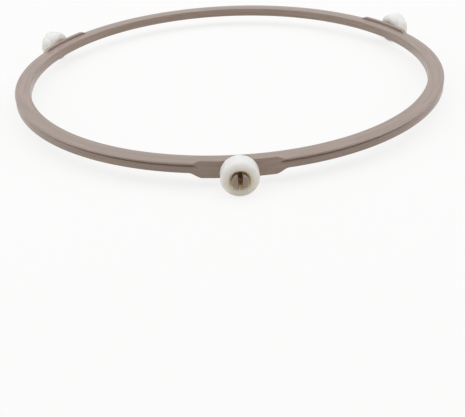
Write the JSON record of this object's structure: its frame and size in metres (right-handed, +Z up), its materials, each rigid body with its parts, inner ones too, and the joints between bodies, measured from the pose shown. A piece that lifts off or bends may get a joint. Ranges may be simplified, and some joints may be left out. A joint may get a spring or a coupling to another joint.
{
  "type": "microwave roller ring",
  "caption": "Flat moulded ring with outer rollers on split snap axles, which runs on a microwave oven's floor and carries the turning glass tray.",
  "frame": {"origin": "on the ring's axis, at the level of the floor that the rollers stand on", "axes": "+Z up along the ring's axis; the front roller's axle points along -Y, the others a third of a turn round"},
  "size_m": [0.2, 0.2104, 0.0145],
  "materials": {
    "ring_plastic": "satin moulded taupe",
    "roller_plastic": "smooth moulded ivory white"
  },
  "bodies": {
    "frame": {"ring_frame": "ring_plastic"},
    "front_roller": {"roller_front": "roller_plastic"},
    "right_roller": {"roller_right": "roller_plastic"},
    "left_roller": {"roller_left": "roller_plastic"}
  },
  "joints": [
    {"name": "front_roller_spin", "type": "hinge", "parent": "frame", "child": "front_roller", "pos_m": [0, -0.1051, 0.00725], "axis": [0, -1, 0], "continuous": true},
    {"name": "right_roller_spin", "type": "hinge", "parent": "frame", "child": "right_roller", "pos_m": [0.09102, 0.05255, 0.00725], "axis": [0.866, 0.5, 0], "continuous": true},
    {"name": "left_roller_spin", "type": "hinge", "parent": "frame", "child": "left_roller", "pos_m": [-0.09102, 0.05255, 0.00725], "axis": [-0.866, 0.5, 0], "continuous": true}
  ]
}
